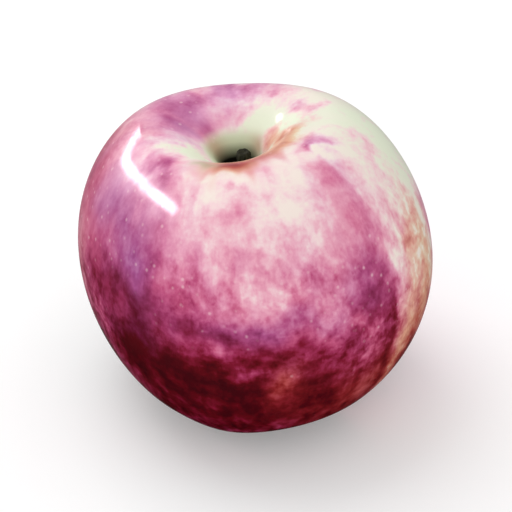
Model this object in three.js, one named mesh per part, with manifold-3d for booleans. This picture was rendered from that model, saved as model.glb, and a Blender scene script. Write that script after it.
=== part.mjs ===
// A medium-large heirloom apple, conic and a little lopsided, standing on the crown of its calyx end.
//
// Three pieces: the fruit, which is one solid with its skin, a short broken stem that stands in the
// stem cavity, and the dried calyx of five sepals in the basin underneath.
// Units are millimetres, +Z is up, and the origin is the middle of the footprint on the table.
// +X is the fuller side of the fruit and -Y is its front.

import * as THREE from "three";
import { mergeVertices } from "three/addons/utils/BufferGeometryUtils.js";
import Module from "manifold-3d";

const wasm = await Module();
wasm.setup();

// Driving dimensions of the fruit.
const WIDEST_RADIUS = 40;
const WIDEST_HEIGHT = 33;
const SHOULDER_HEIGHT = 67; // height of the ring round the stem cavity
const SHOULDER_RADIUS = 20;
const CROWN_RADIUS = 13; // ring that the fruit stands on, round the calyx basin
const CAVITY_FLOOR = 49; // height of the bottom of the stem cavity
const CAVITY_THROAT = 2.6; // radius of the cavity at its bottom
const BASIN_DEPTH = 7;
const BASIN_THROAT = 4; // radius of the basin at its deepest

// How full each curve of the outline is. 0 would be a straight slope and 1 a square corner.
const FULLNESS = {
  basinWall: 0.45,
  basinRim: 0.5,
  underside: 0.575,
  lowerFlank: 0.535,
  upperFlank: 0.545,
  shoulder: 0.36,
  cavityRim: 0.55,
  cavityWall: 0.5,
};

// How the fruit grew out of round. Shares are of the radius, azimuths are in degrees from +X.
const FULL_SIDE = { share: 0.033, azimuth: -16 };
const OVAL = { share: 0.028, azimuth: -48 };
const THREE_SIDED = { share: 0.034, azimuth: 22.5 };
const HIGH_SHOULDER = { rise: 1.9, azimuth: -24 };
const SADDLE = { rise: 0.4, azimuth: -8 };
const LEAN = { x: -2.6, y: 1.2 }; // how far the stem end stands off the middle
const CROWN_LOBES = { count: 5, azimuth: -105, dip: 1.3, swell: 0.012, height: 11 };
const LIP = { rise: 0.8, azimuth: -25, spread: 40, radius: 11, width: 4 }; // fold by the cavity
const FLAT_DEPTH = 0.35; // what resting has flattened off each crown lobe

// Stem and calyx.
const STEM = { radius: 1.25, length: 11, root: 2.5, bend: { x: 0.4, y: 1.1 } };
const CALYX_SEAT = { radius: 2.7, thickness: 1.4, sunk: 0.6 };
const SEPAL = { count: 5, length: 6.4, width: 2.9, tip: 0.8, thickness: 0.7, root: 1.5, hang: 6 };
const SEPAL_CURL = { least: 46, most: 62 }; // degrees that a sepal bends outwards along its length
const STAMEN = { count: 7, radius: 0.34, tip: 0.3, length: 3.4, spread: 13 };
const GAP = 0.3; // clearance between pieces that touch

// Fineness of the faceted solids.
const FRUIT_SIDES = 72;
const ROWS_PER_CURVE = 9;
const SMALL_SIDES = 16;

const DEGREE = Math.PI / 180;

/** Eases from 0 to 1 as x goes from 0 to 1. */
function ease(x) {
  return THREE.MathUtils.smoothstep(x, 0, 1);
}

/** A bell curve of height 1 at offset 0. */
function bell(offset, width) {
  return Math.exp(-((offset / width) ** 2));
}

/** The angle from one azimuth to another, the short way round, in degrees. */
function turn(from, to) {
  return THREE.MathUtils.euclideanModulo(to - from + 180, 360) - 180;
}

/** A wave round the fruit with a crest at an azimuth, in degrees. */
function wave(azimuth, crest, count = 1) {
  return Math.cos(count * (azimuth - crest) * DEGREE);
}

/** Moves every vertex of a geometry by a function that changes a Vector3 in place. */
function reshape(geometry, change) {
  const positions = geometry.getAttribute("position");
  const point = new THREE.Vector3();
  for (let i = 0; i < positions.count; i++) {
    point.fromBufferAttribute(positions, i);
    change(point);
    positions.setXYZ(i, point.x, point.y, point.z);
  }
  return geometry;
}

/** A closed geometry as a solid that can be cut and joined. */
function toSolid(geometry) {
  const bare = geometry.clone();
  bare.deleteAttribute("normal");
  bare.deleteAttribute("uv");
  const merged = mergeVertices(bare, 1e-4);
  return new wasm.Manifold(
    new wasm.Mesh({
      numProp: 3,
      vertProperties: new Float32Array(merged.getAttribute("position").array),
      triVerts: new Uint32Array(merged.index.array),
    }),
  );
}

/** A solid as a geometry that can be drawn. */
function toGeometry(solid) {
  const { vertProperties, triVerts } = solid.getMesh();
  const geometry = new THREE.BufferGeometry();
  geometry.setAttribute("position", new THREE.BufferAttribute(new Float32Array(vertProperties), 3));
  geometry.setIndex(new THREE.BufferAttribute(new Uint32Array(triVerts), 1));
  geometry.computeVertexNormals();
  return geometry;
}

/** A profile of radius and height turned round the Z axis. It runs upwards on its outside. */
function turned(points, sides) {
  return new THREE.LatheGeometry(points, sides).rotateX(Math.PI / 2);
}

/** An upright cylinder between two heights. */
function post(radius, low, high) {
  return new THREE.CylinderGeometry(radius, radius, high - low, SMALL_SIDES)
    .rotateX(Math.PI / 2)
    .translate(0, 0, (low + high) / 2);
}

/** The outline of half the fruit, from the basin round the outside to the floor of the cavity. */
function fruitOutline() {
  const basinWidth = CROWN_RADIUS - BASIN_THROAT;
  const basinShelf = BASIN_DEPTH - BASIN_THROAT / 2;
  const underWidth = WIDEST_RADIUS - CROWN_RADIUS;
  const upperHeight = SHOULDER_HEIGHT - WIDEST_HEIGHT;
  const shoulderWidth = WIDEST_RADIUS - SHOULDER_RADIUS;
  const cavityWidth = SHOULDER_RADIUS - CAVITY_THROAT;
  const throatHeight = CAVITY_FLOOR + CAVITY_THROAT / 2;

  const path = new THREE.Path();
  path.moveTo(0, BASIN_DEPTH);
  path.quadraticCurveTo(BASIN_THROAT, BASIN_DEPTH, BASIN_THROAT, basinShelf);
  path.bezierCurveTo(
    BASIN_THROAT,
    basinShelf * (1 - FULLNESS.basinWall),
    CROWN_RADIUS - basinWidth * FULLNESS.basinRim,
    0,
    CROWN_RADIUS,
    0,
  );
  path.bezierCurveTo(
    CROWN_RADIUS + underWidth * FULLNESS.underside,
    0,
    WIDEST_RADIUS,
    WIDEST_HEIGHT * (1 - FULLNESS.lowerFlank),
    WIDEST_RADIUS,
    WIDEST_HEIGHT,
  );
  path.bezierCurveTo(
    WIDEST_RADIUS,
    WIDEST_HEIGHT + upperHeight * FULLNESS.upperFlank,
    SHOULDER_RADIUS + shoulderWidth * FULLNESS.shoulder,
    SHOULDER_HEIGHT,
    SHOULDER_RADIUS,
    SHOULDER_HEIGHT,
  );
  path.bezierCurveTo(
    SHOULDER_RADIUS - cavityWidth * FULLNESS.cavityRim,
    SHOULDER_HEIGHT,
    CAVITY_THROAT,
    throatHeight + (SHOULDER_HEIGHT - throatHeight) * FULLNESS.cavityWall,
    CAVITY_THROAT,
    throatHeight,
  );
  path.quadraticCurveTo(CAVITY_THROAT, CAVITY_FLOOR, 0, CAVITY_FLOOR);
  return path.getPoints(ROWS_PER_CURVE);
}

/** Moves a point of the round fruit to where the grown one has it. */
function grow(point) {
  const azimuth = Math.atan2(point.y, point.x) / DEGREE;
  const radius = Math.hypot(point.x, point.y);
  const height = point.z;
  const upper = ease((height - WIDEST_HEIGHT) / (SHOULDER_HEIGHT - WIDEST_HEIGHT));
  const crown = ease(1 - height / CROWN_LOBES.height) * Math.min(1, radius / CROWN_RADIUS);
  const lobes = wave(azimuth, CROWN_LOBES.azimuth, CROWN_LOBES.count);
  const lean = (height / SHOULDER_HEIGHT) ** 2;

  const outOfRound =
    FULL_SIDE.share * wave(azimuth, FULL_SIDE.azimuth) +
    OVAL.share * wave(azimuth, OVAL.azimuth, 2) +
    THREE_SIDED.share * wave(azimuth, THREE_SIDED.azimuth, 3);
  const reach = radius * (1 + outOfRound) * (1 + CROWN_LOBES.swell * crown * lobes);

  const shoulder =
    HIGH_SHOULDER.rise * wave(azimuth, HIGH_SHOULDER.azimuth) +
    SADDLE.rise * wave(azimuth, SADDLE.azimuth, 2);
  const lip =
    LIP.rise * bell(radius - LIP.radius, LIP.width) * bell(turn(LIP.azimuth, azimuth), LIP.spread);
  const rise =
    upper * (Math.min(1, radius / SHOULDER_RADIUS) * shoulder + lip) +
    (CROWN_LOBES.dip * crown * (1 - lobes)) / 2;

  point.set(
    reach * Math.cos(azimuth * DEGREE) + LEAN.x * lean,
    reach * Math.sin(azimuth * DEGREE) + LEAN.y * lean,
    height + rise,
  );
}

/** Where the stem stands: the middle of the cavity's floor. */
function stemFoot() {
  const foot = new THREE.Vector3(0, 0, CAVITY_FLOOR);
  grow(foot);
  return foot;
}

/** The fruit: grown out of round, open for the stem and the calyx, and flat where it rests. */
function makeFruit() {
  const grown = toSolid(reshape(turned(fruitOutline(), FRUIT_SIDES), grow));
  const stemSocket = post(STEM.radius + GAP, -STEM.root - GAP, 1).translate(...stemFoot());
  const seatBottom = BASIN_DEPTH - CALYX_SEAT.sunk;
  const calyxRecess = post(
    CALYX_SEAT.radius + GAP,
    seatBottom - 1,
    seatBottom + CALYX_SEAT.thickness + GAP,
  );
  const table = new THREE.BoxGeometry(4 * WIDEST_RADIUS, 4 * WIDEST_RADIUS, BASIN_DEPTH)
    .translate(0, 0, FLAT_DEPTH - BASIN_DEPTH / 2);
  return toGeometry(
    grown.subtract(toSolid(stemSocket)).subtract(toSolid(calyxRecess)).subtract(toSolid(table)),
  );
}

/** The stem: a woody stalk, swollen at its broken end and bent a little to one side. */
function makeStem() {
  const { radius, length, root, bend } = STEM;
  const profile = [
    new THREE.Vector2(0, -root),
    new THREE.Vector2(radius, -root),
    new THREE.Vector2(radius, 0),
    new THREE.Vector2(radius * 0.88, length * 0.35),
    new THREE.Vector2(radius * 0.92, length * 0.65),
    new THREE.Vector2(radius * 1.2, length * 0.86),
    new THREE.Vector2(radius * 1.28, length * 0.95),
    new THREE.Vector2(radius, length),
    new THREE.Vector2(0, length * 0.97),
  ];
  const foot = stemFoot();
  return reshape(turned(profile, SMALL_SIDES), (point) => {
    const along = Math.max(0, point.z) / length;
    point.x += bend.x * along ** 2;
    point.y += bend.y * along ** 2;
    point.add(foot);
  });
}

/** One dried sepal: a pointed blade that hangs down from the seat and bends outwards in an arc. */
function makeSepal(azimuth, curl) {
  const blade = new THREE.BoxGeometry(SEPAL.thickness, SEPAL.width, SEPAL.length, 1, 2, 6);
  const arcRadius = SEPAL.length / (curl * DEGREE);
  reshape(blade, (point) => {
    const along = THREE.MathUtils.clamp(0.5 - point.z / SEPAL.length, 0, 1);
    const angle = (SEPAL.hang + curl * along) * DEGREE;
    const hang = SEPAL.hang * DEGREE;
    const taper = THREE.MathUtils.lerp(1, SEPAL.tip / SEPAL.width, along ** 1.5);
    point.set(
      SEPAL.root + arcRadius * (Math.cos(hang) - Math.cos(angle)) + point.x * Math.cos(angle),
      point.y * taper,
      -arcRadius * (Math.sin(angle) - Math.sin(hang)) + point.x * Math.sin(angle),
    );
  });
  return blade.rotateZ(azimuth * DEGREE);
}

/** One withered stamen that hangs down and leans outwards. */
function makeStamen(azimuth) {
  return new THREE.CylinderGeometry(STAMEN.radius, STAMEN.tip, STAMEN.length, 6)
    .rotateX(Math.PI / 2)
    .translate(0, 0, -STAMEN.length / 2)
    .rotateY(-STAMEN.spread * DEGREE)
    .rotateZ(azimuth * DEGREE);
}

/** The calyx: five sepals and a tuft of withered stamens on one seat, all dried together. */
function makeCalyx() {
  let calyx = toSolid(post(CALYX_SEAT.radius, 0, CALYX_SEAT.thickness));
  for (let i = 0; i < SEPAL.count; i++) {
    const azimuth = CROWN_LOBES.azimuth + (360 / SEPAL.count) * (i + 0.5);
    const curl = THREE.MathUtils.lerp(SEPAL_CURL.least, SEPAL_CURL.most, (i * 0.6) % 1);
    calyx = calyx.add(toSolid(makeSepal(azimuth, curl).translate(0, 0, CALYX_SEAT.thickness / 2)));
  }
  for (let i = 0; i < STAMEN.count; i++) {
    const stamen = makeStamen((360 / STAMEN.count) * i).translate(0, 0, CALYX_SEAT.thickness / 2);
    calyx = calyx.add(toSolid(stamen));
  }
  return toGeometry(calyx.translate(0, 0, BASIN_DEPTH - CALYX_SEAT.sunk));
}

/** A named mesh with its own material. */
function piece(name, geometry, color, roughness) {
  const material = new THREE.MeshStandardMaterial({ color, roughness, metalness: 0 });
  const mesh = new THREE.Mesh(geometry, material);
  mesh.name = name;
  return mesh;
}

const apple = new THREE.Group();
apple.add(
  piece("fruit", makeFruit(), 0xb9557f, 0.3),
  piece("stem", makeStem(), 0x5a4a33, 0.8),
  piece("calyx", makeCalyx(), 0x4a3a28, 0.9),
);

// The fruit leans, so the group is moved until the middle of its footprint is the origin.
const box = new THREE.Box3().setFromObject(apple);
const middle = box.getCenter(new THREE.Vector3());
apple.position.set(-middle.x, -middle.y, -box.min.z);

export default apple;
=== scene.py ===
"""Heirloom apple: a finely modelled and painted fruit, its stem and its dried calyx, in a studio.

The fruit's form is a profile turned round the Z axis and then grown out of round. Places on its
skin are given by azimuth, in degrees from +X with the front at -90, and by ring, the angle round
the middle of the flesh: about 140 at the foot of the stem, 90 on the shoulder, 0 at the widest and
-100 on the crown that the fruit stands on.
"""

import math

import bmesh
import bpy
import numpy as np
from bpy.props import FloatProperty, FloatVectorProperty, IntProperty, PointerProperty
from mathutils import Matrix, Vector, noise as space_noise
from mathutils.geometry import interpolate_bezier


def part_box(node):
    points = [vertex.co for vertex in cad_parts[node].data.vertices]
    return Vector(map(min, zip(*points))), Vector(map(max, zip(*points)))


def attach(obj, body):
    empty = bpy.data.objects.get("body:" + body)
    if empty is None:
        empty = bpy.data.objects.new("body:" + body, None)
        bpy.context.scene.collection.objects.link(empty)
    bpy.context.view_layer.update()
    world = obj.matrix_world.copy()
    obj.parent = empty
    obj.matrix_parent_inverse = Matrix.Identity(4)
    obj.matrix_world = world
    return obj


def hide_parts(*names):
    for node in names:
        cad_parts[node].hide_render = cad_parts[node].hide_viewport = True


bl_info = {
    "name": "Heirloom fruit",
    "version": (1, 0, 0),
    "blender": (4, 5, 0),
    "location": "View3D > Sidebar > Fruit",
    "description": "Builds a painted apple with its stem and calyx, and a studio to show it in",
    "category": "Object",
}

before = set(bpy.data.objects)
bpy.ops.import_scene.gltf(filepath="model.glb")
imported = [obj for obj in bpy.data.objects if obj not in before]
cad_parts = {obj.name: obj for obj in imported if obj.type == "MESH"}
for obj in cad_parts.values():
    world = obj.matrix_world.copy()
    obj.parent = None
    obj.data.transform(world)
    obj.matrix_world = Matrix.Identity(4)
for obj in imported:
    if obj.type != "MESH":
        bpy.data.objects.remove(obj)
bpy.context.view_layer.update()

MM = 0.001
# Points of a lathed form that are nearer than this are one.
WELD = 1e-7


def skin_colour(code):
    """A colour in linear light from the six hexadecimal digits of an sRGB one."""
    channels = [int(code[i : i + 2], 16) / 255 for i in (0, 2, 4)]
    return tuple(c / 12.92 if c <= 0.04045 else ((c + 0.055) / 1.055) ** 2.4 for c in channels)


def ease(x):
    """0 below 0, 1 above 1, and a smooth rise between."""
    x = np.clip(x, 0.0, 1.0)
    return x * x * (3.0 - 2.0 * x)


def between(value, start, end):
    """How far a value is on the way from start to end, as a share."""
    return (value - start) / (end - start)


def turn_from(azimuth, middle):
    """The angle from a middle azimuth, the short way round, in degrees."""
    return (azimuth - middle + 180.0) % 360.0 - 180.0


# How the fruit grew out of round. Shares are of the radius, azimuths are in degrees.
FULL_SIDE = (0.033, -16.0)
OVAL = (0.028, -48.0)
THREE_SIDED = (0.034, 22.5)
HIGH_SHOULDER = (1.9 * MM, -24.0)
SADDLE = (0.4 * MM, -8.0)
LEAN = (-2.6 * MM, 1.2 * MM)
CROWN_LOBES = {"count": 5, "azimuth": -105.0, "dip": 1.3 * MM, "swell": 0.012, "height": 11 * MM}
LIP = {"rise": 0.8 * MM, "azimuth": -25.0, "spread": 40.0, "radius": 11 * MM, "width": 4 * MM}
GROOVE = {"dip": 1.1 * MM, "azimuth": -128.0, "spread": 24.0, "radius": 9 * MM, "width": 5 * MM}
# How deep the crown is pressed flat where the fruit stands.
FLAT_DEPTH = 0.35 * MM

# How full each curve of the profile is, as in the part's own source.
FULLNESS = {
    "basin_wall": 0.45,
    "basin_rim": 0.5,
    "underside": 0.575,
    "lower_flank": 0.535,
    "upper_flank": 0.545,
    "shoulder": 0.36,
    "cavity_rim": 0.55,
    "cavity_wall": 0.5,
}

# Into how many steps each curve of the profile is split.
STEPS = {"seat": 10, "basin": 24, "lower": 66, "upper": 66, "cavity": 54, "throat": 8}
# How many places along the profile the footprint is measured at.
FOOTPRINT_SAMPLES = 80

# The stem's outline, in shares of its radius at the foot and of its length. It starts in the flesh.
STEM_OUTLINE = (
    (0.0, -0.22), (1.0, -0.22), (1.0, 0.0), (0.94, 0.1), (0.9, 0.25), (0.88, 0.4), (0.9, 0.55),
    (0.95, 0.68), (1.08, 0.78), (1.2, 0.86), (1.28, 0.93), (1.2, 0.975), (1.0, 1.0),
    (0.7, 0.985), (0.35, 0.975), (0.0, 0.97),
)
STEM_ROUNDS = 28
STEM_BEND = (0.4 * MM, 1.1 * MM)
# Ridges along the stem: how many, how they twist and their depth as a share of the radius.
STEM_RIDGES = ((5, 2, 0.05), (9, -5, 0.03))

# The dried calyx. Its cup is stuck in the basin, and sepals and stamens hang from it.
CUP = {"root": 2.9 * MM, "mouth": 2.4 * MM, "height": 0.9 * MM, "rounds": 32}
SEPALS = {
    "count": 5, "across": 8, "along": 18, "root": 1.5 * MM, "thickness": 0.35 * MM,
    "hang": 6.0, "curl": 46.0, "curl_more": 16.0, "taper": 0.85, "crinkle": 0.06, "roll": 0.5 * MM,
}
STAMENS = {
    "count": 20, "turn": 137.5, "spread": 1.3 * MM, "lean": 5.0, "lean_more": 11.0,
    "length": 3.0 * MM, "uneven": 0.5 * MM, "root": 0.14 * MM, "tip": 0.09 * MM, "head": 0.24 * MM,
}

# Washes of colour on the skin, each an oval patch with soft edges: azimuth, ring, half width along
# the azimuth, half width along the ring, hardness of the edge, strength.
BLUSH_WASHES = (
    # Round the cavity
    (-210, 103, 41, 10, 1, 0.38),  # magenta cloud, behind left
    (-222, 112, 18, 5, 1, 0.30),
    (-252, 109, 20, 4, 1, 0.16),
    (-272, 93, 26, 7, 1, 0.28),
    (-304, 90, 24, 8, 1, 0.14),
    (-155, 98, 28, 7, 1, -0.24),  # pale green hollow left of the cavity
    (-158, 90, 14, 4.5, 1, -0.14),
    (-140, 83.5, 9, 6, 1, 0.27),  # magenta patch
    (-131, 91, 6, 4, 1, 0.06),
    (-114, 77, 3.5, 6, 1, 0.18),
    # The reddest part of the salmon lip, in front, is painted shade where the lip curves down into
    # the cavity.
    (-94, 97, 14, 6, 1, 0.57),  # salmon lip, reddest in front
    (-98, 107, 18, 4, 1, 0.26),
    (-117, 91, 9, 5, 1, -0.08),  # grey green left of the lip
    (-72, 101, 12, 4, 1, 0.26),
    (-46, 102.5, 24, 4.5, 1, 0.30),
    (-134, 103, 14, 6, 1, -0.20),
    (-22, 108, 16, 6, 1, 0.34),
    (12, 114, 22, 6, 1, 0.30),
    (-62, 91, 13, 4, 1, -0.16),  # cream right of the lip
    (-45, 90, 8, 5, 1, -0.12),
    (-95, 85, 16, 4, 2, -0.18),  # cream patch under the lip
    (-59, 85, 9, 5, 1, -0.20),
    (-32, 85.5, 9, 5, 2, 0.34),  # pink band over the right shoulder
    (-34, 93, 8, 5, 1, 0.18),
    (-41, 81, 9, 3, 2, -0.20),
    (27, 98, 20, 5, 1, 0.17),
    # Shoulders and cheeks
    (-202, 66, 16, 16, 1, 0.20),  # red left rim
    (-186, 56, 14, 24, 1, 0.24),
    # The left edge is painted paler here and in the next two washes: painted rim light.
    (-188, 14, 12, 26, 1, -0.12),  # lit edge
    (-174, -8, 12, 20, 1, -0.24),
    (-152, -20, 13, 26, 1, -0.16),
    (-150, 54, 26, 20, 1, 0.22),  # violet left cheek
    (-121, 44, 8, 16, 1, 0.16),
    (-131, 20, 10, 14, 1, 0.12),
    (-140, 62, 12, 8, 1, 0.08),
    (-122, 63, 7, 12, 1, 0.12),
    (-135, 61, 7, 12, 1, 0.08),
    (-106, 73, 5, 8, 1, -0.16),
    (-111, 40, 9, 15, 1, 0.14),
    (-120, 28, 6, 9, 1, 0.08),
    (-84, 50, 13, 12, 1, -0.02),
    (-92, 45, 3, 8, 1, 0.10),
    (-87, 58, 3, 4, 1, 0.07),
    (-90, 72, 4, 7, 1, 0.14),
    (-71, 84, 3, 7, 1, 0.10),
    (-66, 48, 5, 9, 1, 0.12),
    (-72, 75, 9, 8, 1, -0.20),
    (-61, 66, 5, 10, 1, -0.02),
    (-46, 65, 8, 12, 2, 0.15),  # right cheek
    (-49, 37, 9, 22, 2, 0.15),
    (-36, 57, 5, 10, 2, 0.20),
    # Flecks on the pale side
    (-23, 36, 3, 5, 1, 0.34),
    (-25, 54, 3.5, 9, 1, 0.20),
    (-31, 64, 5, 11, 1, 0.16),
    (-15, 46, 6, 20, 1, 0.10),
    (-16, 76, 5, 6, 1, 0.16),
    (-28, 13, 5, 7, 1, 0.32),
    (-24, 0, 3, 6, 1, 0.06),
    (-13, 0, 9, 24, 1, -0.12),
    (-27, -34, 6, 16, 1, 0.16),
    (0, 70, 8, 20, 1, -0.10),
    (3, 28, 8, 20, 1, 0.14),
    # Belly
    (-148, 25, 17, 15, 1, 0.22),
    (-110, -9, 18, 16, 1, 0.13),
    (-84, -30, 16, 12, 1, 0.06),
    (-44, 14, 7, 9, 1, 0.11),
    (-142, -44, 14, 14, 1, -0.10),
    (-27, -44, 7, 12, 1, 0.28),
    (-134, -4, 9, 20, 1, 0.14),
    (-98, 21, 16, 6, 1, 0.10),
    (-86, 11, 3, 4, 1, 0.16),
    (-73, 10, 3, 4, 1, 0.18),
    (-99, 20, 3, 4, 1, 0.12),
    (-111, 20, 3, 5, 1, 0.14),
    (-98, 6, 5, 5, 1, -0.14),
    (-78, 3, 5, 5, 1, -0.02),
    (-80, -16, 6, 14, 1, -0.26),  # orange glow
    (-90, -10, 5, 8, 1, -0.14),
    (-86, -1, 8, 5, 1, 0.10),
    (-50, -12, 10, 20, 1, -0.16),
    (-46, -44, 14, 18, 1, -0.20),
    (-108, -66, 40, 12, 1, -0.14),
    (-60, -62, 24, 16, 1, -0.02),
    (0, -128, 400, 16, 1, -0.45),  # round the calyx
)
# Where the pattern is calmer than elsewhere.
CALM_WASHES = (
    (-170, 46, 44, 34, 1, 0.72),
    (-214, 106, 50, 14, 1, 0.58),
    (-46, 44, 12, 30, 1, 0.40),
    (-126, 34, 14, 36, 1, 0.26),
    (-90, 16, 40, 16, 1, 0.34),
    (-90, 94, 44, 11, 2, 0.75),
    (-46, 104, 30, 6, 1, 0.70),
)
# Where the blush turns violet. The lilac of the upper half is partly the skin's bloom and partly
# painted sheen.
COOL_WASHES = (
    (-208, 103, 43, 12, 1, 0.75),
    (27, 99, 18, 5, 1, 0.25),
    (-264, 94, 32, 9, 1, 0.60),
    (-140, 84, 12, 7, 1, 0.45),
    (-30, 85, 9, 8, 1, 0.50),
    # The lilac haze on the upper left cheek: partly bloom, partly painted sheen.
    (-150, 60, 26, 18, 1, 0.75),
    (-133, 36, 14, 20, 1, 0.70),
    (-86, 22, 26, 8, 1, 0.62),
    (-50, 34, 10, 18, 1, 0.50),
    (-131, 0, 12, 18, 1, 0.60),
)
WARM_WASHES = (
    # The warmth of the lip in front goes with the painted shade of the salmon lip.
    (-96, 95, 20, 9, 2, 1.00),
    (-98, 106, 18, 6, 1, 1.00),
    (-52, 102, 40, 7, 1, 1.00),
    (-22, 106, 20, 8, 1, 1.00),
    (12, 114, 26, 8, 1, 0.90),
    (-80, -18, 7, 15, 1, 0.80),
    (-52, -48, 26, 26, 1, 0.80),
    (-30, -34, 9, 28, 1, 1.00),
    (-18, -6, 14, 34, 1, 0.90),
    (-14, 34, 12, 24, 1, 0.60),
    (-23, 36, 3, 5, 1, 0.30),
    (-180, 10, 12, 36, 1, 0.30),
    (-202, 66, 14, 14, 1, 0.30),
)
GREEN_WASHES = (
    (0, 76, 22, 30, 1, 1.00),
    (-150, 98, 30, 9, 1, 0.90),
    (-117, 91, 12, 6, 1, 0.60),
    (40, 30, 40, 50, 1, 0.70),
)
# Painted shade down the cavity's throat: more where the lip folds over, less on the far wall.
THROAT_SHADE_WASHES = (
    (-114, 96.5, 12, 4.5, 1, 0.36),  # shade where the lip folds over
    (12, 118, 26, 7, 1, -0.60),
)
# Where the cavity is browner than green: russet deep in the cavity, and browner painted shade where
# the lip folds over.
RUSSET_AND_SHADE_WASHES = (
    (-214, 118, 26, 8, 1, 0.90),
    (-109, 97, 14, 7, 1, 1.00),
    (36, 118, 24, 6, 1, 1.00),
)
# Dull places, where the coat of wax is thin.
DULL_WASHES = (
    (-152, 95, 27, 14.5, 4, 1.30),
    (14, 105, 14, 8, 3, 1.30),
)
# The side that hung in the shade stays pale between these azimuths, with edges this wide.
PALE_SIDE = {"start": -38.0, "start_edge": 5.0, "end": 88.0, "end_edge": 84.0}

# Rings between which each layer of the skin comes in.
CAVITY_COLOUR = (94, 108)
# The throat darkens between these rings, and is painted black shade at the bottom.
THROAT_COLOUR_AND_SHADE = (110, 124.5)
FLANK_PATTERN = (84, 40)
WAX = (109, 106)
PALE_SIDE_FOOT = (-100, -40)
# Blush where the sun reached the skin and where it didn't: from how much, how much more, and the
# rings between which it grows.
# The blush deepens towards the bottom: partly the skin's own blush and partly painted shade of the
# underside.
SUNNY_BLUSH = (0.25, 0.69, (72, -34))
SHADY_BLUSH = (0.02, 0.46, (68, -42))
# Shares of the blush that the cavity loses and of the green that it gains.
CAVITY_FADE = 0.85
CAVITY_GREEN = 0.9

# How the washes waver: reach in degrees and a shift in space, for azimuth and for ring.
AZIMUTH_WAVER = (3.0, 17.3)
RING_WAVER = (4.5, 31.7)
# The waves in it: how many and how strong, and the rings between which they come in, outside the
# cavity. The ring counts for less than the azimuth, so the waves are longer that way.
WAVES = ((4, 2), (11, 1))
WAVER_RINGS = (104, 84)
RING_WEIGHT = 0.45

# Noises of the skin: repeats along each axis, a shift, detail, roughness and distortion. The grain
# runs from stem to calyx along its third axis, so streaks and blotches are longer that way.
GRAIN_NOISES = {
    "broad": ((4.5, 4.5, 2.0), (0.0, 0.0, 0.0), 2.0, 0.45, 0.2),
    "blotch": ((9.5, 9.5, 6.0), (5.0, 2.0, 4.0), 2.0, 0.45, 0.3),
    "dapple": ((25.0, 25.0, 14.0), (1.0, 6.0, 2.0), 2.0, 0.45, 0.3),
    "narrow": ((34.0, 34.0, 3.2), (3.0, 1.0, 7.0), 1.5, 0.5, 0.2),
}
# These have no grain, and their repeats are in a metre.
SPACE_NOISES = {
    "cloud": ((190.0, 190.0, 190.0), (0.0, 0.0, 0.0), 2.0, 0.5, 0.3),
    "fine": ((1100.0, 1100.0, 900.0), (0.0, 0.0, 0.0), 2.0, 0.6, 0.0),
}
# Lenticels are small pale dots. Some are fainter than others, and none shows in the palest or the
# darkest skin.
LENTICELS = {
    "repeats": 520.0, "edge": (0.30, 0.04), "faintness": (0.15, 1.0),
    "palest": (0.2, 0.45), "darkest": (0.8, 0.55), "strength": 0.45,
}

# Strips of light that only reflections see: from one azimuth and elevation to another, width and
# share of the glow. Together they draw the bent stroke on the left shoulder.
STRIPS = (
    ("strip_back", (113, 24.5), (140, 13.5), 0.058, 0.9),
    ("strip_left", (139, 13), (169, 29), 0.068, 1.05),
    ("strip_end", (166, 28.5), (-170, 36.5), 0.070, 2.1),
)
STRIP_DISTANCE = 0.6
GLINT = {"start": (143, 35), "end": (132, 35), "distance": STRIP_DISTANCE, "width": 0.12}
KEY = {"start": (150, 62), "end": (110, 62), "distance": 0.8, "width": 0.5}
KEY_LENGTH = 0.6
FILL = {"start": (-115, 12), "end": (-75, 12), "distance": 0.9, "width": 0.5}
# How far the floor reaches from the middle.
FLOOR_REACH = 2.0
# Where the pale back of the studio begins and is full, as the Y of a direction.
STUDIO_BACK = (0.6, 0.95)
SENSOR_WIDTH = 36.0


def washed(azimuth, ring, washes):
    """The sum of the washes at each place on the skin."""
    total = np.zeros_like(azimuth)
    for middle_azimuth, middle_ring, wide, tall, hardness, strength in washes:
        aside = turn_from(azimuth, middle_azimuth) / wide
        away = aside**2 + ((ring - middle_ring) / tall) ** 2
        total += strength * np.exp(-(away**hardness))
    return total


def length_property(name, description, default, low, high):
    """A length whose default and limits are given in millimetres."""
    return FloatProperty(
        name=name, description=description, default=default * MM, min=low * MM, max=high * MM,
        subtype="DISTANCE", unit="LENGTH",
    )


def share_property(name, description, default):
    return FloatProperty(
        name=name, description=description, default=default, min=0.0, max=1.0, subtype="FACTOR"
    )


def power_property(name, description, default):
    return FloatProperty(
        name=name, description=description, default=default, min=0.0, max=100.0,
        subtype="POWER", unit="POWER",
    )


def paint_property(name, description, code):
    """A colour whose default is given as six hexadecimal digits."""
    return FloatVectorProperty(
        name=name, description=description, default=skin_colour(code), min=0.0, max=1.0,
        subtype="COLOR",
    )


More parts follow.
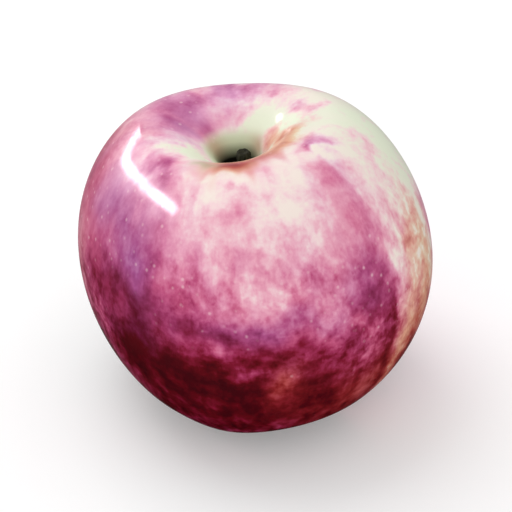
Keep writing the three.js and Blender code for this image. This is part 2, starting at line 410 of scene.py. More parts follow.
class FruitSize(bpy.types.PropertyGroup):
    """Sizes of the fruit, the stem and the calyx."""

    widest_radius: length_property("Widest radius", "Radius of the fruit at its widest", 40, 30, 50)
    widest_height: length_property(
        "Widest height", "Height at which the fruit is widest", 33, 20, 50
    )
    shoulder_radius: length_property(
        "Shoulder radius", "Radius of the ring round the stem cavity", 20, 10, 30
    )
    shoulder_height: length_property(
        "Shoulder height", "Height of the ring round the stem cavity", 67, 50, 90
    )
    crown_radius: length_property(
        "Crown radius", "Radius of the ring that the fruit stands on", 13, 8, 20
    )
    cavity_floor: length_property(
        "Cavity floor", "Height of the bottom of the stem cavity", 49, 40, 60
    )
    cavity_throat: length_property(
        "Cavity throat", "Radius of the stem cavity at its bottom", 2.6, 1, 6
    )
    basin_depth: length_property("Basin depth", "Depth of the calyx basin", 7, 3, 12)
    basin_throat: length_property(
        "Basin throat", "Radius of the calyx basin at its deepest", 4, 2, 8
    )
    stem_radius: length_property("Stem radius", "Radius of the stem at its foot", 1.25, 0.8, 3)
    stem_length: length_property(
        "Stem length", "Length of the stem above the cavity floor", 11, 5, 30
    )
    sepal_length: length_property("Sepal length", "Length of a dried sepal", 6.4, 3, 9)
    sepal_width: length_property("Sepal width", "Width of a dried sepal at its root", 2.9, 1, 4)
    rounds: IntProperty(
        name="Rounds", description="Number of faces round the fruit", default=336, min=48, max=400
    )


class FruitPaint(bpy.types.PropertyGroup):
    """Colours and marks of the skin."""

    cream: paint_property("Cream", "Skin with no blush", "F4E5DC")
    pale_green: paint_property("Pale green", "Skin with no blush on the shaded side", "E6ECD4")
    # Down the stem cavity the skin goes darker: partly its own green, partly painted shade, with
    # painted black shade at the bottom.
    sage: paint_property("Sage", "Skin some way down the stem cavity", "CAD0B0")
    olive: paint_property("Olive", "Skin deep in the stem cavity", "92977A")
    shade_black: paint_property("Shade black", "Skin at the bottom of the stem cavity", "14120C")
    # This brown tints russet deep in the cavity, and also the painted shade where the lip folds
    # over.
    russet_and_shade: paint_property("Russet and shade", "Brown stain on the sides of the stem cavity", "EEC8C4")
    pale_pink: paint_property("Pale pink", "Faintest blush", "F3D2D6")
    pink: paint_property("Pink", "Light blush", "EBA8BC")
    rose: paint_property("Rose", "Middling blush", "DC80A0")
    magenta: paint_property("Magenta", "Strong blush", "C4547C")
    wine: paint_property("Wine", "Stronger blush", "A02C56")
    crimson: paint_property("Crimson", "Deep blush", "7E0E2C")
    black_red: paint_property("Black red", "Deepest blush", "5E000E")
    ripe_black: paint_property("Ripe black", "Blotches in the deepest blush", "42000A")
    lilac_mist: paint_property("Lilac mist", "Cool shade of the faintest blush", "ECDCE8")
    lilac: paint_property("Lilac", "Cool shade of light blush", "D89AC4")
    violet: paint_property("Violet", "Cool shade of strong blush", "A24C88")
    plum: paint_property("Plum", "Cool shade of deep blush", "68143C")
    butter: paint_property("Butter", "Warm shade of the faintest blush", "ECDAB6")
    peach: paint_property("Peach", "Warm shade of light blush", "E4A68A")
    brick: paint_property("Brick", "Warm shade of strong blush", "BA5046")
    ember: paint_property("Ember", "Warm shade of deep blush", "8C1E1E")
    broad_streaks: share_property(
        "Broad streaks", "Strength of the broad streaks along the meridians", 0.22
    )
    blotches: share_property("Blotches", "Strength of the cloudy blotches", 0.36)
    dapple: share_property("Dapple", "Strength of the small dapple inside the blotches", 0.19)
    narrow_streaks: share_property(
        "Narrow streaks", "Strength of the narrow streaks along the meridians", 0.06
    )
    grain: share_property("Grain", "Strength of the finest grain", 0.10)


class FruitStudio(bpy.types.PropertyGroup):
    """Camera and lights."""

    camera_elevation: FloatProperty(
        name="Camera elevation", description="Angle of the camera above the horizon",
        default=math.radians(33.0), min=0.0, max=math.pi / 2, subtype="ANGLE", unit="ROTATION",
    )
    camera_roll: FloatProperty(
        name="Camera roll", description="Turn of the camera about its own axis",
        default=math.radians(-1.6), min=-0.5, max=0.5, subtype="ANGLE", unit="ROTATION",
    )
    camera_distance: length_property(
        "Camera distance", "Distance from the camera to the middle of the fruit", 560, 200, 3000
    )
    camera_lens: FloatProperty(
        name="Camera lens", description="Focal length in millimetres on a sensor 36 mm wide",
        default=174.3, min=20.0, max=300.0,
    )
    camera_aside: length_property(
        "Camera aside", "How far right of the fruit's middle the camera looks", 1.13, -10, 10
    )
    key_power: power_property("Key power", "Power of the soft light overhead", 2.0)
    fill_power: power_property("Fill power", "Power of the soft light beside the camera", 1.0)
    strip_glow: FloatProperty(
        name="Strip glow", description="Power of the strip lights for each square metre",
        default=76.0, min=0.0, max=1000.0,
    )
    glint_power: power_property(
        "Glint power", "Power of the round light that glints in the cavity", 0.9
    )
    world_strength: FloatProperty(
        name="Ambient light", description="Strength of the light from all round",
        default=0.80, min=0.0, max=5.0,
    )
    reflected_front: FloatProperty(
        name="Reflected front", description="Strength of the studio's front in the skin's gloss",
        default=0.0, min=0.0, max=5.0,
    )
    reflected_back: FloatProperty(
        name="Reflected back", description="Strength of the studio's back in the skin's gloss",
        default=0.3, min=0.0, max=5.0,
    )


# Shader helpers. Each takes a node tree, and values may be numbers or sockets to link.


def node(tree, kind, values=None, **settings):
    made = tree.nodes.new(kind)
    for key, value in settings.items():
        setattr(made, key, value)
    for key, value in (values or {}).items():
        if isinstance(value, bpy.types.NodeSocket):
            tree.links.new(value, made.inputs[key])
        else:
            made.inputs[key].default_value = value
    return made


def maths(tree, operation, a, b, clamp=False):
    settings = {"operation": operation, "use_clamp": clamp}
    return node(tree, "ShaderNodeMath", {0: a, 1: b}, **settings).outputs[0]


def blended(tree, share, a, b, blend_type="MIX"):
    """Colour a with a share of colour b."""
    settings = {"data_type": "RGBA", "blend_type": blend_type, "clamp_factor": True}
    made = node(tree, "ShaderNodeMix", **settings)
    for socket, value in (("Factor", share), ("A", a), ("B", b)):
        wanted = "VALUE" if socket == "Factor" else "RGBA"
        target = next(s for s in made.inputs if s.name == socket and s.type == wanted)
        if isinstance(value, bpy.types.NodeSocket):
            tree.links.new(value, target)
        else:
            target.default_value = value if socket == "Factor" else (*value, 1.0)
    return next(s for s in made.outputs if s.type == "RGBA")


def ranged(tree, value, low, high, to_low=0.0, to_high=1.0, smooth=True):
    """A value between low and high, brought between two others."""
    values = {
        "Value": value, "From Min": low, "From Max": high, "To Min": to_low, "To Max": to_high
    }
    kind = "SMOOTHSTEP" if smooth else "LINEAR"
    return node(tree, "ShaderNodeMapRange", values, interpolation_type=kind).outputs[0]


def colour_ramp(tree, value, stops):
    """A ramp through colours at places from 0 to 1."""
    made = node(tree, "ShaderNodeValToRGB", {"Fac": value})
    elements = made.color_ramp.elements
    while len(elements) < len(stops):
        elements.new(0.5)
    for element, (place, colour) in zip(elements, stops):
        element.position = place
        element.color = (*colour, 1.0)
    return made.outputs["Color"]


def noise(tree, vector, scale, detail, roughness, distortion=0.0):
    values = {
        "Vector": vector, "Scale": scale, "Detail": detail, "Roughness": roughness,
        "Distortion": distortion,
    }
    return node(tree, "ShaderNodeTexNoise", values).outputs["Fac"]


def stretched(tree, vector, scale, shift=(0.0, 0.0, 0.0)):
    values = {"Vector": vector, "Scale": scale, "Location": shift}
    return node(tree, "ShaderNodeMapping", values).outputs[0]


def attribute(tree, name, output="Fac"):
    return node(tree, "ShaderNodeAttribute", attribute_name=name).outputs[output]


def new_material(name):
    material = bpy.data.materials.new(name)
    material.use_nodes = True
    tree = material.node_tree
    tree.nodes.clear()
    output = node(tree, "ShaderNodeOutputMaterial")
    shader = node(tree, "ShaderNodeBsdfPrincipled")
    tree.links.new(shader.outputs[0], output.inputs["Surface"])
    return material, tree, shader


def new_piece(name, bm, material, node_name):
    """A finished piece that stands for a node of the part."""
    mesh = bpy.data.meshes.new(name)
    bm.to_mesh(mesh)
    bm.free()
    mesh.shade_smooth()
    mesh.materials.append(material)
    piece = bpy.data.objects.new(name, mesh)
    bpy.context.scene.collection.objects.link(piece)
    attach(piece, "root")
    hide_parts(node_name)
    return piece


def lathed(outline, rounds):
    """A form whose outline, of radius and height, is turned round the Z axis."""
    bm = bmesh.new()
    verts = [bm.verts.new((radius, 0.0, height)) for radius, height in outline]
    edges = [bm.edges.new(pair) for pair in zip(verts, verts[1:])]
    bmesh.ops.spin(
        bm, geom=verts + edges, cent=(0, 0, 0), axis=(0, 0, 1), dvec=(0, 0, 0), angle=math.tau,
        steps=rounds, use_merge=True, use_normal_flip=False, use_duplicate=False,
    )
    bmesh.ops.remove_doubles(bm, verts=bm.verts, dist=WELD)
    bmesh.ops.recalc_face_normals(bm, faces=bm.faces)
    return bm


def round_profile(size):
    """Half the fruit's outline, from the basin to the cavity floor, as radius and height."""
    crown, widest, shoulder = size.crown_radius, size.widest_radius, size.shoulder_radius
    seat, throat = size.basin_throat, size.cavity_throat
    basin, middle = size.basin_depth, size.widest_height
    top, floor = size.shoulder_height, size.cavity_floor
    seat_rim, throat_rim = basin - seat / 2, floor + throat / 2

    # Each curve has its start, the start's handle, the end's handle, its end and its steps.
    curves = (
        (
            (0.0, basin), (seat * 2 / 3, basin),
            (seat, basin - (basin - seat_rim) / 3), (seat, seat_rim),
            STEPS["seat"],
        ),
        (
            (seat, seat_rim), (seat, seat_rim * (1 - FULLNESS["basin_wall"])),
            (crown - (crown - seat) * FULLNESS["basin_rim"], 0.0), (crown, 0.0),
            STEPS["basin"],
        ),
        (
            (crown, 0.0), (crown + (widest - crown) * FULLNESS["underside"], 0.0),
            (widest, middle * (1 - FULLNESS["lower_flank"])), (widest, middle),
            STEPS["lower"],
        ),
        (
            (widest, middle), (widest, middle + (top - middle) * FULLNESS["upper_flank"]),
            (shoulder + (widest - shoulder) * FULLNESS["shoulder"], top), (shoulder, top),
            STEPS["upper"],
        ),
        (
            (shoulder, top), (shoulder - (shoulder - throat) * FULLNESS["cavity_rim"], top),
            (throat, throat_rim + (top - throat_rim) * FULLNESS["cavity_wall"]),
            (throat, throat_rim),
            STEPS["cavity"],
        ),
        (
            (throat, throat_rim), (throat, floor + (throat_rim - floor) / 3),
            (throat * 2 / 3, floor), (0.0, floor),
            STEPS["throat"],
        ),
    )
    points = [Vector((0.0, size.basin_depth))]
    for start, start_handle, end_handle, end, count in curves:
        points += interpolate_bezier(
            *(Vector((*p, 0.0)) for p in (start, start_handle, end_handle, end)), count + 1
        )[1:]
    return [(p[0], p[1]) for p in points]


def grown(size, azimuth, radius, height):
    """Where the points of the round fruit are on the grown one, as arrays of x, y and z."""
    upper = ease((height - size.widest_height) / (size.shoulder_height - size.widest_height))
    crown = ease(1 - height / CROWN_LOBES["height"]) * np.minimum(1, radius / size.crown_radius)
    lobes = np.cos(CROWN_LOBES["count"] * np.radians(azimuth - CROWN_LOBES["azimuth"]))
    lean = (height / size.shoulder_height) ** 2

    out_of_round = sum(
        share * np.cos(count * np.radians(azimuth - crest))
        for count, (share, crest) in enumerate((FULL_SIDE, OVAL, THREE_SIDED), 1)
    )
    reach = radius * (1 + out_of_round) * (1 + CROWN_LOBES["swell"] * crown * lobes)
    shoulder = sum(
        rise * np.cos(count * np.radians(azimuth - crest))
        for count, (rise, crest) in enumerate((HIGH_SHOULDER, SADDLE), 1)
    )

    def fold(form, height_change):
        """A fold of the cavity's rim, highest at one azimuth and radius."""
        out = (radius - form["radius"]) / form["width"]
        aside = turn_from(azimuth, form["azimuth"]) / form["spread"]
        return height_change * np.exp(-(out**2) - aside**2)

    folds = fold(LIP, LIP["rise"]) - fold(GROOVE, GROOVE["dip"])
    rise = upper * (np.minimum(1, radius / size.shoulder_radius) * shoulder + folds)
    rise = rise + CROWN_LOBES["dip"] * crown * (1 - lobes) / 2
    turn = np.radians(azimuth)
    return (
        reach * np.cos(turn) + LEAN[0] * lean,
        reach * np.sin(turn) + LEAN[1] * lean,
        height + rise,
    )


def fruit_shift(size):
    """How far the grown form is moved so that its footprint is centred where the part has it."""
    lowest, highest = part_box("fruit")
    profile = np.array(round_profile(size))
    rows = np.linspace(0, len(profile) - 1, FOOTPRINT_SAMPLES).round().astype(int)
    azimuth, row = np.meshgrid(np.linspace(-180, 180, 361), rows)
    x, y, _ = grown(size, azimuth, profile[row, 0], profile[row, 1])
    return Vector(
        (
            (lowest.x + highest.x) / 2 - (x.min() + x.max()) / 2,
            (lowest.y + highest.y) / 2 - (y.min() + y.max()) / 2,
            -FLAT_DEPTH,
        )
    )


def wandered(azimuth, ring):
    """Azimuth and ring with a natural waver, so that no wash has a drawn edge."""
    turn, height = np.radians(azimuth), RING_WEIGHT * np.radians(ring)
    places = np.stack((np.cos(turn), np.sin(turn), height), 1)
    free = ease(between(ring, *WAVER_RINGS))

    def waver(reach, shift):
        waves = (
            sum(strong * space_noise.noise(Vector(p * count + shift)) for count, strong in WAVES)
            for p in places
        )
        return reach * free * np.fromiter(waves, float, len(places))

    return azimuth + waver(*AZIMUTH_WAVER), ring + waver(*RING_WAVER)


def paint_layers(azimuth, ring):
    """How much of each colour and effect every place on the skin has."""
    cavity = ease(between(ring, *CAVITY_COLOUR))
    throat = between(ring, *THROAT_COLOUR_AND_SHADE)
    flank = ease(between(ring, *FLANK_PATTERN))
    gloss = ease(between(ring, *WAX)) - washed(azimuth, ring, DULL_WASHES)
    azimuth, ring = wandered(azimuth, ring)

    middle = (PALE_SIDE["start"] + PALE_SIDE["end"]) / 2
    around = middle + turn_from(azimuth, middle)
    after_start = ease((around - PALE_SIDE["start"]) / PALE_SIDE["start_edge"] + 0.5)
    before_end = ease((PALE_SIDE["end"] - around) / PALE_SIDE["end_edge"] + 0.5)
    pale = after_start * before_end * ease(between(ring, *PALE_SIDE_FOOT))
    sunny, shady = (
        least + more * ease(between(ring, *rings))
        for least, more, rings in (SUNNY_BLUSH, SHADY_BLUSH)
    )
    blush = (sunny * (1 - pale) + shady * pale) * (1 - CAVITY_FADE * cavity)
    return {
        "blush": blush + washed(azimuth, ring, BLUSH_WASHES),
        "cool": washed(azimuth, ring, COOL_WASHES),
        "warm": washed(azimuth, ring, WARM_WASHES),
        "green": CAVITY_GREEN * cavity + washed(azimuth, ring, GREEN_WASHES),
        "throat": np.maximum(throat, 0) + washed(azimuth, ring, THROAT_SHADE_WASHES),
        "russet_and_shade": washed(azimuth, ring, RUSSET_AND_SHADE_WASHES),
        "flank": flank,
        "calm": washed(azimuth, ring, CALM_WASHES),
        "gloss": gloss,
    }


def skin_material(paint):
    material, tree, shader = new_material("Fruit skin")
    grain = attribute(tree, "grain", "Vector")
    place = node(tree, "ShaderNodeTexCoord").outputs["Object"]
    blush, flank = attribute(tree, "blush"), attribute(tree, "flank")
    noises = {
        name: noise(tree, stretched(tree, space, repeats, shift), 1.0, *settings)
        for space, table in ((grain, GRAIN_NOISES), (place, SPACE_NOISES))
        for name, (repeats, shift, *settings) in table.items()
    }

    def plus(a, b):
        return maths(tree, "ADD", a, b)

    def times(a, b):
        return maths(tree, "MULTIPLY", a, b)

    def swing(value, strength):
        """A noise that averages a half, turned to swing about 0."""
        return times(maths(tree, "SUBTRACT", value, 0.5), 2.0 * strength)

    # The flanks have streaks, dapple and blotches. The shoulder has rounder clouds.
    difference = maths(tree, "SUBTRACT", noises["blotch"], noises["cloud"])
    blotch = plus(noises["cloud"], times(flank, difference))
    narrow = swing(noises["narrow"], paint.narrow_streaks)
    pattern = times(plus(swing(noises["dapple"], paint.dapple), narrow), flank)
    broad = swing(noises["broad"], paint.broad_streaks)
    pattern = plus(pattern, times(broad, ranged(tree, flank, 0.0, 1.0, 0.4, 1.0)))
    pattern = plus(pattern, swing(blotch, paint.blotches))
    pattern = plus(pattern, swing(noises["fine"], paint.grain))
    # It is weaker where a wash calms it, and in the deepest blush.
    pattern = times(pattern, maths(tree, "SUBTRACT", 1.0, attribute(tree, "calm")))
    pattern = times(pattern, ranged(tree, blush, 0.55, 0.95, 1.0, 0.48))
    tone = plus(blush, pattern)

    ground = blended(tree, attribute(tree, "green"), paint.cream, paint.pale_green)
    neutral = colour_ramp(tree, tone, (
        (0.15, paint.pale_pink), (0.30, paint.pink), (0.45, paint.rose), (0.60, paint.magenta),
        (0.71, paint.wine), (0.81, paint.crimson), (0.90, paint.black_red), (1.0, paint.ripe_black),
    ))
    cool = colour_ramp(tree, tone, (
        (0.05, paint.lilac_mist), (0.30, paint.lilac), (0.62, paint.violet), (0.86, paint.plum),
        (0.95, paint.black_red),
    ))
    warm = colour_ramp(tree, tone, (
        (0.05, paint.butter), (0.30, paint.peach), (0.60, paint.brick), (0.84, paint.ember),
        (0.98, paint.black_red),
    ))
    coolness = plus(attribute(tree, "cool"), swing(noises["broad"], 0.4))
    blushed = blended(tree, coolness, neutral, cool)
    blushed = blended(tree, attribute(tree, "warm"), blushed, warm)
    skin = blended(tree, ranged(tree, tone, 0.0, 0.18), ground, blushed)
    # Down the throat the skin turns sage, then olive, then black. The darkening is partly painted
    # shade, and the black at the bottom is painted shade.
    throat = colour_ramp(
        tree,
        attribute(tree, "throat"),
        ((0.0, paint.pale_green), (0.52, paint.sage), (0.74, paint.olive), (0.94, paint.shade_black)),
    )
    throat = blended(tree, attribute(tree, "russet_and_shade"), throat, paint.russet_and_shade, "MULTIPLY")
    skin = blended(tree, ranged(tree, attribute(tree, "throat"), 0.0, 0.40), skin, throat)

    cell_values = {"Vector": place, "Scale": LENTICELS["repeats"], "Randomness": 1.0}
    cells = node(tree, "ShaderNodeTexVoronoi", cell_values, feature="F1")
    draw = node(tree, "ShaderNodeSeparateColor", {"Color": cells.outputs["Color"]}).outputs[0]
    dot = ranged(tree, cells.outputs["Distance"], *LENTICELS["edge"])
    dot = times(dot, ranged(tree, draw, *LENTICELS["faintness"]))
    shown = times(
        ranged(tree, tone, *LENTICELS["palest"]), ranged(tree, tone, *LENTICELS["darkest"])
    )
    skin = blended(tree, times(dot, times(shown, LENTICELS["strength"])), skin, paint.pale_pink)

    roughness = ranged(tree, blotch, 0.3, 0.7, 0.42, 0.52, smooth=False)
    height = plus(times(noises["fine"], 0.4), times(dot, 0.5))
    bump = node(tree, "ShaderNodeBump", {"Height": height, "Strength": 0.15, "Distance": 0.2 * MM})
    coat = maths(tree, "MULTIPLY", attribute(tree, "gloss"), 0.5, clamp=True)
    tree.links.new(skin, shader.inputs["Base Color"])
    tree.links.new(roughness, shader.inputs["Roughness"])
    tree.links.new(bump.outputs[0], shader.inputs["Normal"])
    tree.links.new(coat, shader.inputs["Coat Weight"])
    shader.inputs["IOR"].default_value = 1.4
    shader.inputs["Specular IOR Level"].default_value = 0.08
    shader.inputs["Coat Roughness"].default_value = 0.15
    return material


class FRUIT_OT_grow_fruit(bpy.types.Operator):
    """Turn the fruit's profile, grow it out of round and paint its skin"""

    bl_idname = "fruit.grow_fruit"
    bl_label = "Grow the fruit"

    def execute(self, context):
        size = context.scene.fruit_size
        bm = lathed(round_profile(size), size.rounds)
        material = skin_material(context.scene.fruit_paint)
        mesh = new_piece("fruit_skin", bm, material, "fruit").data

        round_form = np.empty(len(mesh.vertices) * 3, np.float32)
        mesh.vertices.foreach_get("co", round_form)
        x, y, z = round_form.reshape(-1, 3).astype(float).T
        radius = np.hypot(x, y)
        azimuth = np.degrees(np.arctan2(y, x))
        ring = np.degrees(np.arctan2(z - size.widest_height, radius - size.shoulder_radius))

        for name, values in paint_layers(azimuth, ring).items():
            layer = mesh.attributes.new(name, "FLOAT", "POINT")
            layer.data.foreach_set("value", np.clip(values, -0.1, 1.1).astype(np.float32))
        turn = np.radians(azimuth)
        grain = np.stack((np.cos(turn), np.sin(turn), np.radians(ring)), 1)
        layer = mesh.attributes.new("grain", "FLOAT_VECTOR", "POINT")
        layer.data.foreach_set("vector", grain.astype(np.float32).ravel())

        x, y, z = grown(size, azimuth, radius, z)
        shift = fruit_shift(size)
        z = np.maximum(z + shift.z, 0.0)
        grown_form = np.stack((x + shift.x, y + shift.y, z), 1)
        mesh.vertices.foreach_set("co", grown_form.astype(np.float32).ravel())
        mesh.update()
        return {"FINISHED"}


def fibre_group():
    """Dry plant fibre: colour and height of a grain that runs along the third axis of the place it
    is given.
    """
    group = bpy.data.node_groups.new("Dry plant fibre", "ShaderNodeTree")
    sockets = group.interface
    sockets.new_socket("Along", in_out="INPUT", socket_type="NodeSocketVector")
    for name in ("Dark", "Light"):
        sockets.new_socket(name, in_out="INPUT", socket_type="NodeSocketColor")
    sockets.new_socket("Fineness", in_out="INPUT", socket_type="NodeSocketFloat")
    sockets.new_socket("Colour", in_out="OUTPUT", socket_type="NodeSocketColor")
    sockets.new_socket("Height", in_out="OUTPUT", socket_type="NodeSocketFloat")
    taken = node(group, "NodeGroupInput")
    given = node(group, "NodeGroupOutput")
    stretch = stretched(group, taken.outputs["Along"], (1.0, 1.0, 0.12))
    fibres = noise(group, stretch, taken.outputs["Fineness"], 5.0, 0.65, 0.5)
    patches = noise(group, taken.outputs["Along"], 500.0, 3.0, 0.5)
    share = maths(
        group, "ADD", maths(group, "MULTIPLY", fibres, 0.8), maths(group, "MULTIPLY", patches, 0.4)
    )
    share = ranged(group, share, 0.35, 0.85)
    made = node(group, "ShaderNodeMix", data_type="RGBA")
    colour_inputs = [s for s in made.inputs if s.type == "RGBA"]
    group.links.new(share, made.inputs[0])
    group.links.new(taken.outputs["Dark"], colour_inputs[0])
    group.links.new(taken.outputs["Light"], colour_inputs[1])
    group.links.new(next(s for s in made.outputs if s.type == "RGBA"), given.inputs["Colour"])
    group.links.new(fibres, given.inputs["Height"])
    return group


def dry_material(name, dark, light, fineness, roughness):
    material, tree, shader = new_material(name)
    group = bpy.data.node_groups.get("Dry plant fibre") or fibre_group()
    place = node(tree, "ShaderNodeTexCoord").outputs["Object"]
    fibre = node(tree, "ShaderNodeGroup", node_tree=group)
    tree.links.new(place, fibre.inputs["Along"])
    fibre.inputs["Dark"].default_value = (*skin_colour(dark), 1.0)
    fibre.inputs["Light"].default_value = (*skin_colour(light), 1.0)
    fibre.inputs["Fineness"].default_value = fineness
    tree.links.new(fibre.outputs["Colour"], shader.inputs["Base Color"])
    bump_values = {"Height": fibre.outputs["Height"], "Strength": 0.6, "Distance": 0.3 * MM}
    bump = node(tree, "ShaderNodeBump", bump_values)
    tree.links.new(bump.outputs[0], shader.inputs["Normal"])
    shader.inputs["Roughness"].default_value = roughness
    shader.inputs["Specular IOR Level"].default_value = 0.1
    return material


class FRUIT_OT_grow_stem(bpy.types.Operator):
    """Make the short woody stem that stands in the cavity"""

    bl_idname = "fruit.grow_stem"
    bl_label = "Grow the stem"

    def execute(self, context):
        size = context.scene.fruit_size
        radius, length = size.stem_radius, size.stem_length
        bm = lathed([(r * radius, h * length) for r, h in STEM_OUTLINE], STEM_ROUNDS)
        middle, floor = np.array(0.0), np.array(size.cavity_floor)
        foot = Vector([float(v) for v in grown(size, middle, middle, floor)]) + fruit_shift(size)
        for vert in bm.verts:
            along = max(0.0, vert.co.z) / length
            turn = math.atan2(vert.co.y, vert.co.x)
            ridges = 1 + sum(
                depth * math.sin(count * turn + twist * along)
                for count, twist, depth in STEM_RIDGES
            )
            vert.co.x = vert.co.x * ridges + STEM_BEND[0] * along**2
            vert.co.y = vert.co.y * ridges + STEM_BEND[1] * along**2
            vert.co += foot
        # The bark is darker than a stem's own brown: partly its own colour and partly painted shade
        # of the deep cavity.
        material = dry_material("Stem bark", "15130D", "3C3B2C", 1500.0, 0.75)
        new_piece("stem_stalk", bm, material, "stem")
        return {"FINISHED"}


class FRUIT_OT_grow_calyx(bpy.types.Operator):
    """Make the five dried sepals and the withered stamens in the basin"""

    bl_idname = "fruit.grow_calyx"
    bl_label = "Grow the calyx"

    def execute(self, context):
        size = context.scene.fruit_size
        seat = Vector((0.0, 0.0, size.basin_depth)) + fruit_shift(size)
        bm = bmesh.new()
        for i in range(SEPALS["count"]):
            azimuth = CROWN_LOBES["azimuth"] + 360 / SEPALS["count"] * (i + 0.5)
            curl = SEPALS["curl"] + SEPALS["curl_more"] * (i * 0.6 % 1)
            self.add_sepal(bm, size, seat, math.radians(azimuth), math.radians(curl))
        for i in range(STAMENS["count"]):
            self.add_stamen(bm, seat, i)
        self.add_cup(bm, seat)
        material = dry_material("Dried calyx", "2A1D12", "86704C", 1800.0, 0.85)
        new_piece("calyx_sepals", bm, material, "calyx")
        return {"FINISHED"}

    def add_sepal(self, bm, size, seat, azimuth, curl):
        """A pointed blade that hangs down from the seat, bends outwards and rolls its edges in."""
        made = bmesh.ops.create_grid(
            bm, x_segments=SEPALS["across"], y_segments=SEPALS["along"], size=0.5
        )
        hang = math.radians(SEPALS["hang"])
        arc = size.sepal_length / curl
        for vert in made["verts"]:
            share = vert.co.y + 0.5
            side = vert.co.x * 2
            angle = hang + curl * share
            crinkle = 1 + SEPALS["crinkle"] * math.sin(19 * share + 3 * side)
            half = size.sepal_width / 2 * (1 - SEPALS["taper"] * share**1.4) * crinkle
            roll = SEPALS["roll"] * side**2 * (1 - 0.3 * share)
            out = SEPALS["root"] + arc * (math.cos(hang) - math.cos(angle)) - roll * math.cos(angle)
            down = arc * (math.sin(angle) - math.sin(hang)) + roll * math.sin(angle) * 0.4
            vert.co = Vector((out, half * side, -down))
        faces = list({f for v in made["verts"] for f in v.link_faces})
        bmesh.ops.recalc_face_normals(bm, faces=faces)
        solid = bmesh.ops.solidify(bm, geom=faces, thickness=SEPALS["thickness"])
        verts = {v for v in solid["geom"] if isinstance(v, bmesh.types.BMVert)}
        verts = list(verts.union(made["verts"]))
        turn = Matrix.Rotation(azimuth, 4, "Z")
        bmesh.ops.transform(bm, matrix=Matrix.Translation(seat) @ turn, verts=verts)

    def add_stamen(self, bm, seat, i):
        """A withered thread with a small head."""
        spread = math.sqrt(i / STAMENS["count"])
        lean = math.radians(STAMENS["lean"] + STAMENS["lean_more"] * spread)
        length = STAMENS["length"] + STAMENS["uneven"] * math.sin(2.1 * i)
        place = (
            Matrix.Translation(seat)
            @ Matrix.Rotation(math.radians(STAMENS["turn"] * i), 4, "Z")
            @ Matrix.Translation((STAMENS["spread"] * spread, 0, 0))
            @ Matrix.Rotation(-lean, 4, "Y")
        )
        bmesh.ops.create_cone(
            bm, cap_ends=True, segments=6, depth=length,
            radius1=STAMENS["tip"], radius2=STAMENS["root"],
            matrix=place @ Matrix.Translation((0, 0, -length / 2)),
        )
        bmesh.ops.create_icosphere(
            bm, subdivisions=1, radius=STAMENS["head"],
            matrix=place @ Matrix.Translation((0, 0, -length)) @ Matrix.Diagonal((1, 1, 1.5, 1)),
        )

    def add_cup(self, bm, seat):
        """The dry ring that the sepals and stamens stand on."""
        bmesh.ops.create_cone(
            bm, cap_ends=True, segments=CUP["rounds"], depth=CUP["height"],
            radius1=CUP["mouth"], radius2=CUP["root"], matrix=Matrix.Translation(seat),
        )


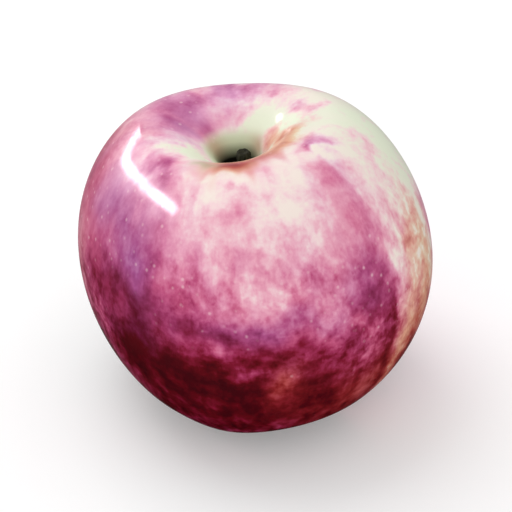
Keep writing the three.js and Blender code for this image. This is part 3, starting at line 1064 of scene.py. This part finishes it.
class FRUIT_OT_set_stage(bpy.types.Operator):
    """Lay the pale floor and set the camera and the lights"""

    bl_idname = "fruit.set_stage"
    bl_label = "Set the stage"

    def execute(self, context):
        studio = context.scene.fruit_studio
        size = context.scene.fruit_size
        middle = fruit_shift(size) + Vector((0.0, 0.0, size.shoulder_height / 2))
        self.add_floor(context)
        self.add_camera(context, studio, middle)
        self.add_lights(context, studio, middle)
        context.scene.view_settings.view_transform = "Standard"
        return {"FINISHED"}

    def add_floor(self, context):
        bm = bmesh.new()
        bmesh.ops.create_grid(bm, x_segments=1, y_segments=1, size=FLOOR_REACH)
        mesh = bpy.data.meshes.new("floor")
        bm.to_mesh(mesh)
        bm.free()
        material, tree, shader = new_material("Pale floor")
        shader.inputs["Base Color"].default_value = (0.80, 0.80, 0.80, 1.0)
        shader.inputs["Emission Color"].default_value = (1.0, 1.0, 1.0, 1.0)
        shader.inputs["Emission Strength"].default_value = 0.2
        shader.inputs["Roughness"].default_value = 0.9
        mesh.materials.append(material)
        floor = bpy.data.objects.new("floor", mesh)
        context.scene.collection.objects.link(floor)
        floor.visible_glossy = False

    def add_camera(self, context, studio, middle):
        camera = bpy.data.objects.new("camera", bpy.data.cameras.new("camera"))
        context.scene.collection.objects.link(camera)
        camera.data.sensor_width = SENSOR_WIDTH
        camera.data.lens = studio.camera_lens
        turn = Matrix.Rotation(math.pi / 2 - studio.camera_elevation, 4, "X")
        roll = Matrix.Rotation(studio.camera_roll, 4, "Z")
        back = Vector((studio.camera_aside, 0.0, studio.camera_distance))
        camera.matrix_world = Matrix.Translation(middle) @ turn @ Matrix.Translation(back) @ roll
        context.scene.camera = camera

    def add_lights(self, context, studio, middle):
        def towards(direction, distance):
            azimuth, elevation = (math.radians(angle) for angle in direction)
            flat = math.cos(elevation)
            return middle + distance * Vector(
                (math.cos(azimuth) * flat, math.sin(azimuth) * flat, math.sin(elevation))
            )

        def lamp(name, start, end, distance, width, power=0.0, glow=0.0):
            """A flat light that faces the middle, with a power or a glow for each square metre."""
            start, end = towards(start, distance), towards(end, distance)
            along = end - start
            centre = (start + end) / 2
            light = bpy.data.lights.new(name, "AREA")
            light.shape = "RECTANGLE"
            light.size = along.length
            light.size_y = width
            light.energy = power + glow * along.length * width
            made = bpy.data.objects.new(name, light)
            x = along.normalized()
            y = (centre - middle).normalized().cross(x).normalized()
            turn = Matrix((x, y, x.cross(y))).transposed().to_4x4()
            made.matrix_world = Matrix.Translation(centre) @ turn
            context.scene.collection.objects.link(made)
            return made

        for name, start, end, width, share in STRIPS:
            glow = studio.strip_glow * share
            lamp(name, start, end, STRIP_DISTANCE, width, glow=glow).visible_diffuse = False
        glint = lamp("cavity_glint", **GLINT, power=studio.glint_power)
        glint.data.shape = "ELLIPSE"
        glint.visible_diffuse = False
        overhead = lamp("soft_key", **KEY, power=studio.key_power)
        overhead.data.size = KEY_LENGTH
        overhead.visible_glossy = False
        fill = lamp("front_fill", **FILL, power=studio.fill_power)
        fill.visible_glossy = False
        self.add_air(context, studio)

    def add_air(self, context, studio):
        """Light from all round, which the skin's gloss sees only behind the fruit."""
        world = bpy.data.worlds.new("studio_air")
        context.scene.world = world
        world.use_nodes = True
        tree = world.node_tree
        tree.nodes.clear()
        output = node(tree, "ShaderNodeOutputWorld")
        rays = node(tree, "ShaderNodeLightPath")
        direction = node(tree, "ShaderNodeTexCoord").outputs["Generated"]
        behind = node(tree, "ShaderNodeSeparateXYZ", {"Vector": direction}).outputs["Y"]
        reflected = ranged(
            tree, behind, *STUDIO_BACK, studio.reflected_front, studio.reflected_back
        )
        glossy = rays.outputs["Is Glossy Ray"]
        strength = ranged(tree, glossy, 0.0, 1.0, studio.world_strength, reflected, smooth=False)
        values = {"Color": (1.0, 1.0, 1.0, 1.0), "Strength": strength}
        air = node(tree, "ShaderNodeBackground", values)
        tree.links.new(air.outputs[0], output.inputs["Surface"])


class FRUIT_PT_panel(bpy.types.Panel):
    """Lists the apple's sizes, colours and steps."""

    bl_label = "Fruit"
    bl_idname = "FRUIT_PT_panel"
    bl_space_type = "VIEW_3D"
    bl_region_type = "UI"
    bl_category = "Fruit"

    def draw(self, context):
        scene = context.scene
        for group in (scene.fruit_size, scene.fruit_paint, scene.fruit_studio):
            column = self.layout.column()
            for name in type(group).__annotations__:
                column.prop(group, name)
        for operator in OPERATORS:
            self.layout.operator(operator.bl_idname)


GROUPS = {"fruit_size": FruitSize, "fruit_paint": FruitPaint, "fruit_studio": FruitStudio}
OPERATORS = (FRUIT_OT_grow_fruit, FRUIT_OT_grow_stem, FRUIT_OT_grow_calyx, FRUIT_OT_set_stage)


def register():
    for cls in (*GROUPS.values(), *OPERATORS, FRUIT_PT_panel):
        bpy.utils.register_class(cls)
    for name, cls in GROUPS.items():
        setattr(bpy.types.Scene, name, PointerProperty(type=cls))


def unregister():
    for name in GROUPS:
        delattr(bpy.types.Scene, name)
    for cls in reversed((*GROUPS.values(), *OPERATORS, FRUIT_PT_panel)):
        bpy.utils.unregister_class(cls)


def main():
    register()
    bpy.ops.fruit.grow_fruit()
    bpy.ops.fruit.grow_stem()
    bpy.ops.fruit.grow_calyx()
    bpy.ops.fruit.set_stage()


if __name__ == "__main__":
    main()
